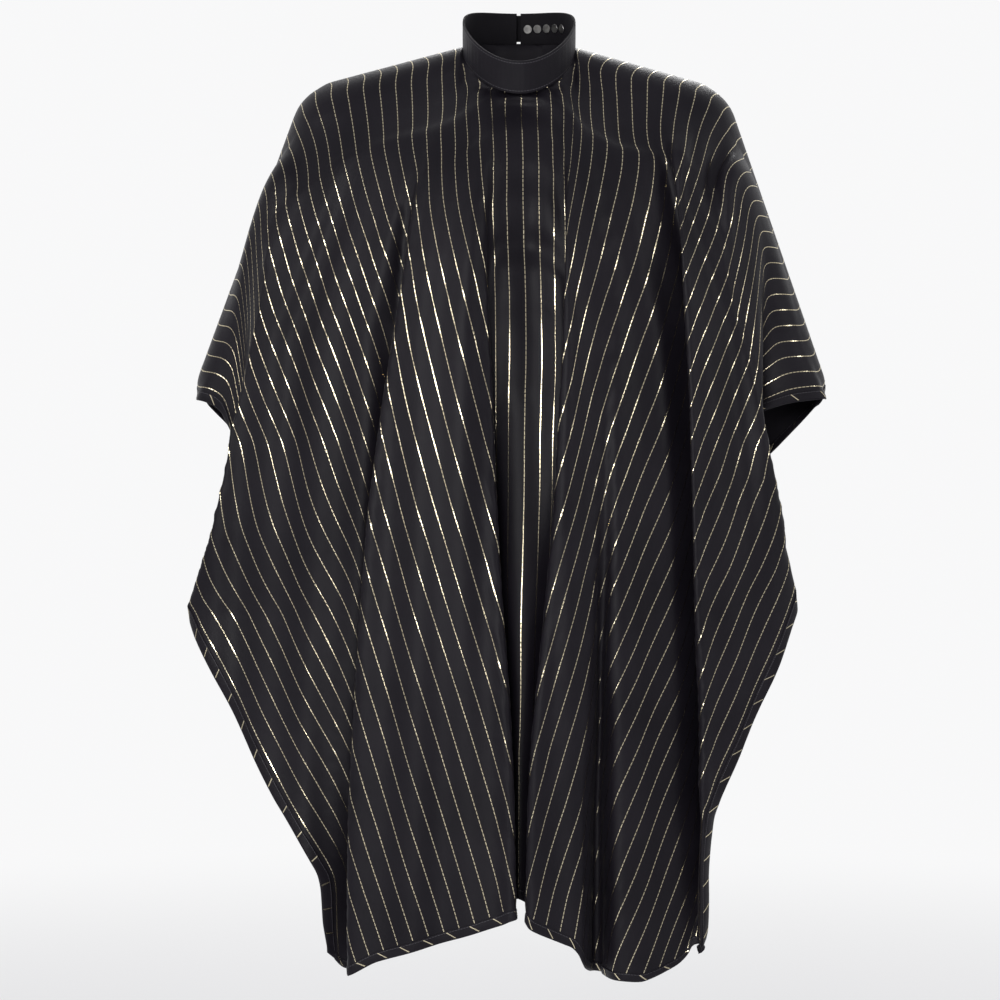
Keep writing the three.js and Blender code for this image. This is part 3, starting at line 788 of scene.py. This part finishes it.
def cape_mesh():
    """The cape as one closed thin sheet, striped cloth outside and plain reverse inside."""
    nu, nv = HUNG.shape[:2]
    index = np.arange(nu * nv).reshape(nu, nv)
    quads = np.stack([index[:-1, :-1], index[:-1, 1:], index[1:, 1:], index[1:, :-1]], -1).reshape(-1, 4)
    gone = HOLE.ravel()[quads]
    faces = [tuple(q) for q in quads[~gone.any(1)].tolist()]
    one = gone.sum(1) == 1
    for quad, lost in zip(quads[one].tolist(), gone[one].tolist()):
        faces.append(tuple(k for k, g in zip(quad, lost) if not g))
    total = nu * nv
    edges = {}
    for f in faces:
        for a, b in zip(f, f[1:] + f[:1]):
            edges[(a, b)] = True
    rim = [(a, b) for a, b in edges if (b, a) not in edges]
    under = [tuple(k + total for k in f[::-1]) for f in faces]
    side = [(b, a, a + total, b + total) for a, b in rim]
    upper = (HUNG + FACING * THICK / 2).reshape(-1, 3)
    lower = (HUNG - FACING * THICK / 2).reshape(-1, 3)
    points = np.concatenate([upper, lower])
    flat = np.concatenate([CUT.reshape(-1, 2)] * 2)
    used = np.unique(np.concatenate([np.ravel(f) for f in faces]))
    keep = np.concatenate([used, used + total])
    place = np.full(2 * total, -1)
    place[keep] = np.arange(len(keep))
    every = [tuple(place[list(f)].tolist()) for f in faces + under + side]
    which = [0] * len(faces) + [1] * (len(under) + len(side))
    return mesh_object("draped_cape_cloth", points[keep], every, [CLOTH, REVERSE_WITH_PAINTED_LIGHT], which, flat[keep])


cape = cape_mesh()
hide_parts("cape_cloth")
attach(cape, "cape")


# ---------------------------------------------------------------- gold pinstripes
def dashes():
    """The broken gold yarn of every stripe, laid on the outer face."""
    length, gap, width, lift = 0.0042, 0.0012, 0.00096, 0.00052
    clear = 0.005              # kept free round the neck seam
    shift = 0.0011             # how far neighbouring stripes' dashes are out of step
    last = int(HALF_WIDTH / PITCH)
    rows = []
    for k in range(-last, last + 1):
        u = k * PITCH
        first = -BACK_LENGTH + BINDING + 0.001
        starts = np.arange(first, FRONT_LENGTH - BINDING - length, length + gap)
        starts = starts + shift * math.sin(7.3 * k)
        beside = (NECK_HOLE + clear) ** 2 - u * u
        reach = math.sqrt(max(beside, 0))
        keep = (beside < 0) | (starts > reach) | (starts + length < -reach)
        rows += [(u, s) for s in starts[keep]]
    u, v = np.array(rows).T
    steps = np.linspace(0, 1, 4)
    vs = v[:, None] + steps * length
    out = [on_cloth(u[:, None] + side * width / 2 + 0 * vs, vs, lift) for side in (1, -1)]
    return np.stack(out, 2)


stripes = mesh_object("gold_pinstripes", *patches(dashes()), [GOLD])
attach(stripes, "cape")

# ---------------------------------------------------------------- hem bindings
# Distance in from the edge in metres and height off the cloth in millimetres, round the
# outside and the inside of the folded tape.
FOLD = [(0.0110, 1.00), (0.0094, 0.92), (0.0060, 1.10), (0.0012, 1.02), (-0.0008, 0.66), (-0.0012, 0.0),
        (-0.0008, -0.66), (0.0012, -1.02), (0.0060, -1.10), (0.0094, -0.92), (0.0110, -1.00)]
INNER = [(0.0110, 0.40), (0.0094, 0.40), (0.0060, 0.45), (0.0012, 0.42), (0.0, 0.30), (-0.0004, 0.0),
         (0.0, -0.30), (0.0012, -0.42), (0.0060, -0.45), (0.0094, -0.40), (0.0110, -0.40)]
CORNER = 0.0098            # front and back tapes stop this far inside the side tapes
# Which way each edge faces on the flat cloth, where it is and half its length if it is level.
SIDES = {
    "front": (1, FRONT_LENGTH, HALF_WIDTH - CORNER),
    "back": (1, -BACK_LENGTH, HALF_WIDTH - CORNER),
    "left": (0, -HALF_WIDTH, 0),
    "right": (0, HALF_WIDTH, 0),
}
# Spacing of the gold ticks and of the stitches along each tape, and which way they lean.
TICKS = {"front": (0.029, -1), "back": (0.029, 1), "left": (0.041, -1), "right": (0.041, 1)}
STITCHES = {side: (0.0036, 1) for side in SIDES}
TAPE_STEP = 0.0040         # length of tape between two of its profiles


def edge_points(side, along, inward, lift):
    """Points on the hanging cloth, given along an edge and in from it."""
    axis, edge, _ = SIDES[side]
    across = edge - math.copysign(1, edge) * inward
    if axis == 1:
        return on_cloth(along + 0 * across, across + 0 * along, lift)
    return on_cloth(across + 0 * along, along + 0 * across, lift)


def edge_run(side):
    """Where the tape of an edge starts and ends."""
    axis, _, half = SIDES[side]
    return (-half, half) if axis == 1 else (-BACK_LENGTH, FRONT_LENGTH)


def binding(side):
    """One folded tape over an edge, with its length."""
    low, high = edge_run(side)
    count = int((high - low) / TAPE_STEP)
    along = np.linspace(low, high, count)[:, None]
    profile = np.array(FOLD + INNER[::-1])
    ripple = 1 + 0.06 * np.sin(along * 410) * np.sin(along * 97)
    points = edge_points(side, along, profile[None, :, 0], profile[None, :, 1] * 0.001 * ripple)
    flat = np.stack([along + 0 * profile[:, 0], np.cumsum(np.full((count, len(profile)), 0.0024), 1)], -1)
    obj = mesh_object("hem_tape_" + side, points, tube_faces(count, len(profile)), [EDGE], None, flat)
    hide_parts("hem_binding_" + side)
    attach(obj, "cape")
    return obj, high - low


def edge_marks(rows, length, width, lift, inset, sideways):
    """Short marks along all four tapes, on both faces.

    rows gives the spacing and lean on each edge, length how far a mark runs along the
    edge and in from it. The width of a sideways mark is measured along the edge.
    """
    strips = []
    for side, (spacing, lean) in rows.items():
        low, high = edge_run(side)
        at = np.arange(low + 0.014, high - 0.014, spacing)[:, None]
        t = np.linspace(0, 1, 5)[None, :]
        for face in (1, -1):
            pair = []
            for s in (1, -1):
                half = s * width / 2
                along = at + lean * t * length[0] + (half if sideways else 0)
                inward = inset + t * length[1] + (0 if sideways else half)
                pair.append(edge_points(side, along, inward + 0 * along, face * lift))
            strips.append(np.stack(pair, 2))
    return np.concatenate(strips)


tapes = [binding(side) for side in SIDES]
tick_marks = edge_marks(TICKS, (0.009, 0.0088), 0.0016, 0.00130, 0.0006, True)
stitch_marks = edge_marks(STITCHES, (0.0026, 0.0), 0.0006, 0.00118, 0.0093, False)
ticks = mesh_object("gold_tape_ticks", *patches(tick_marks), [GOLD])
stitches = mesh_object("hem_stitches", *patches(stitch_marks), [THREAD])
for piece in (ticks, stitches):
    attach(piece, "cape")

# ---------------------------------------------------------------- neckband and tab plies
# Each ply: angles it runs between, bottom and top, inner face's distance from the band's
# inside, thickness, material, body and slot.
LAYERS = {
    "neckband_lining": (-178, 178, 0.0, BAND_HEIGHT, 0.0, 0.0008, LINING, "cape", "band_lining"),
    "neckband_outer": (-178, 178, 0.0, BAND_HEIGHT, 0.0024, 0.0008, BAND, "cape", "band_fabric"),
    "tab_lining": (-222, -170, 0.003, 0.035, 0.0070, 0.0006, LINING, "closing_tab", "band_lining"),
    "tab_outer": (-222, -170, 0.003, 0.035, 0.0091, 0.0006, BAND, "closing_tab", "band_fabric"),
}


def band_points(angle, height, out):
    """Points on the standing neckband, by angle in degrees, height and distance out."""
    a = np.radians(angle)
    return neck_edge(a) + neck_outward(a) * out[..., None] + BAND_UP * height[..., None]


BAND_RADIUS = 0.0715       # mean radius, for the weave's scale


def ply(node):
    """One soft ply of the band or tab, with its length and height."""
    a0, a1, low, high, inner, thick, material, body, slot = LAYERS[node]
    count = a1 - a0 + 1
    angle = np.linspace(a0, a1, count)[:, None]
    h = np.r_[0, 0.02, 0.06, 0.12, np.linspace(0.2, 0.8, 13), 0.88, 0.94, 0.98, 1]
    round_off = np.sqrt(np.clip(1 - (np.abs(h - 0.5) * 2) ** 14, 0, 1)) * 0.5
    # soft creases across the ply, deepest between its two seams
    waver = np.sin(angle * 0.31) * np.sin(angle * 0.83 + 1.0) * np.sin(h * math.pi)[None, :]
    dent = 0.00028 * (1 + waver) / 2
    up = low + (high - low) * h[None, :] + 0 * angle
    outer = inner + thick * (0.5 + round_off)[None, :] - dent
    inside = inner + thick * (0.5 - round_off)[None, :] + 0 * angle
    ups = np.concatenate([up, up[:, ::-1]], 1)
    outs = np.concatenate([outer, inside[:, ::-1]], 1)
    points = band_points(angle + 0 * ups, ups, outs)
    flat = np.stack([np.radians(angle) * BAND_RADIUS + 0 * ups, ups], -1)
    obj = mesh_object(node + "_cloth", points, tube_faces(count, ups.shape[1]), [material], None, flat)
    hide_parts(node)
    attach(obj, body)
    ridge = points[:, len(h) // 2]
    return obj, float(np.linalg.norm(np.diff(ridge, axis=0), axis=1).sum()), high - low


def band_stitches(name, node, body, heights, ends):
    """Stitches round a ply at the given heights and up it at the angles of its ends."""
    a0, a1, low, high, inner, thick = LAYERS[node][:6]
    face = inner + thick + 0.00006
    strips = []
    step, length, width = 2.9, 2.1, 0.0007      # degrees, degrees, metres
    start = np.arange(a0 + 2.5, a1 - 3.5, step)[:, None]
    t = np.linspace(0, 1, 4)[None, :]
    for height in heights:
        angle = start + t * length
        pair = [band_points(angle, height + s * width / 2 + 0 * angle, face + 0 * angle) for s in (1, -1)]
        strips.append(np.stack(pair, 2))
    for place in ends:
        rise = np.arange(low + 0.004, high - 0.005, 0.0036)[:, None] + t * 0.0026
        pair = [band_points(place + s * 0.2 + 0 * rise, rise, face + 0 * rise) for s in (-1, 1)]
        strips.append(np.stack(pair, 2))
    obj = mesh_object(name, *patches(np.concatenate(strips)), [THREAD])
    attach(obj, body)
    return obj


plies = {node: ply(node) for node in LAYERS}
band_thread = band_stitches("neckband_stitches", "neckband_outer", "cape", (0.0028, 0.0352), (-175.6, 175.6))
tab_thread = band_stitches("tab_stitches", "tab_outer", "closing_tab", (0.0055, 0.0325), (-219.5, -172.5))

# ---------------------------------------------------------------- snaps and interlinings
for node in bpy.data.objects:
    if node.name.startswith("snap_"):
        node.data.materials.clear()
        node.data.materials.append(STEEL)
    elif node.name.endswith("_interlining"):
        node.data.materials.clear()
        node.data.materials.append(FELT)


# ---------------------------------------------------------------- studio
PALE = (0.94, 0.94, 0.945)     # what lies behind the cape
GREY = (0.40, 0.40, 0.41)      # what lies in front of it


def surroundings(nodes, links, direction):
    """Pale behind the cape and greyer in front of it, so that the folds shade."""
    parts = nodes.new("ShaderNodeSeparateXYZ")
    behind = nodes.new("ShaderNodeMapRange")
    behind.inputs["From Min"].default_value = -0.10
    behind.inputs["From Max"].default_value = 0.75
    shade = nodes.new("ShaderNodeMix")
    shade.data_type = "RGBA"
    shade.inputs["A"].default_value = (*GREY, 1)
    shade.inputs["B"].default_value = (*PALE, 1)
    links.new(direction, parts.inputs["Vector"])
    links.new(parts.outputs["Y"], behind.inputs["Value"])
    links.new(behind.outputs["Result"], shade.inputs["Factor"])
    return shade.outputs["Result"]


def floor():
    """A pale floor that fades into the surroundings before the horizon."""
    m, nodes, links, shader = tree("pale_floor")
    shader.inputs["Base Color"].default_value = (0.80, 0.80, 0.81, 1)
    shader.inputs["Roughness"].default_value = 0.9
    place = nodes.new("ShaderNodeTexCoord")
    away = nodes.new("ShaderNodeVectorMath")
    away.operation = "LENGTH"
    links.new(place.outputs["Object"], away.inputs[0])
    level = nodes.new("ShaderNodeVectorMath")
    level.operation = "NORMALIZE"
    links.new(place.outputs["Object"], level.inputs[0])
    fade = nodes.new("ShaderNodeMapRange")
    fade.interpolation_type = "SMOOTHSTEP"
    fade.inputs["From Min"].default_value = 1.0
    fade.inputs["From Max"].default_value = 5.0
    links.new(away.outputs["Value"], fade.inputs["Value"])
    glow = nodes.new("ShaderNodeEmission")
    links.new(surroundings(nodes, links, level.outputs["Vector"]), glow.inputs["Color"])
    both = nodes.new("ShaderNodeMixShader")
    links.new(fade.outputs["Result"], both.inputs[0])
    links.new(shader.outputs["BSDF"], both.inputs[1])
    links.new(glow.outputs["Emission"], both.inputs[2])
    links.new(both.outputs["Shader"], nodes["Material Output"].inputs["Surface"])
    half, height = 80, -1.62
    corners = [(-half, -half, 0), (half, -half, 0), (half, half, 0), (-half, half, 0)]
    obj = mesh_object("studio_floor", corners, [(0, 1, 2, 3)], [m])
    obj.location = (0, 0, height)


floor()
scene = bpy.context.scene
world = bpy.data.worlds.new("studio_world")
world.use_nodes = True
sky_nodes, sky_links = world.node_tree.nodes, world.node_tree.links
toward = sky_nodes.new("ShaderNodeTexCoord")
sky = surroundings(sky_nodes, sky_links, toward.outputs["Generated"])
sky_links.new(sky, sky_nodes["Background"].inputs["Color"])
scene.world = world
scene.view_settings.view_transform = "Standard"


def area_light(name, place, aim, size, power):
    """A square softbox at place, turned to shine on aim."""
    light = bpy.data.lights.new(name, "AREA")
    light.size = size
    light.energy = power
    obj = bpy.data.objects.new(name, light)
    obj.location = place
    obj.rotation_euler = (Vector(aim) - Vector(place)).to_track_quat("-Z", "Y").to_euler()
    scene.collection.objects.link(obj)


area_light("front_softbox", (-0.9, -4.6, 0.5), (0, 0, -0.5), 1.3, 82)
area_light("left_strip", (-2.6, -1.9, 0.6), (0, 0, -0.5), 1.0, 16)
area_light("right_strip", (2.7, -1.6, 0.6), (0, 0, -0.6), 1.0, 14)
area_light("back_softbox", (0.4, 3.2, 2.2), (0, 0, -0.3), 1.8, 60)

camera = bpy.data.cameras.new("photo_camera")
camera.lens = 93.9
camera.sensor_width = 36
camera.dof.use_dof = False
eye = bpy.data.objects.new("photo_camera", camera)
eye.location = (-0.023, -3.15, -0.54)
eye.rotation_euler = (math.radians(90), 0, 0)
scene.collection.objects.link(eye)
scene.camera = eye
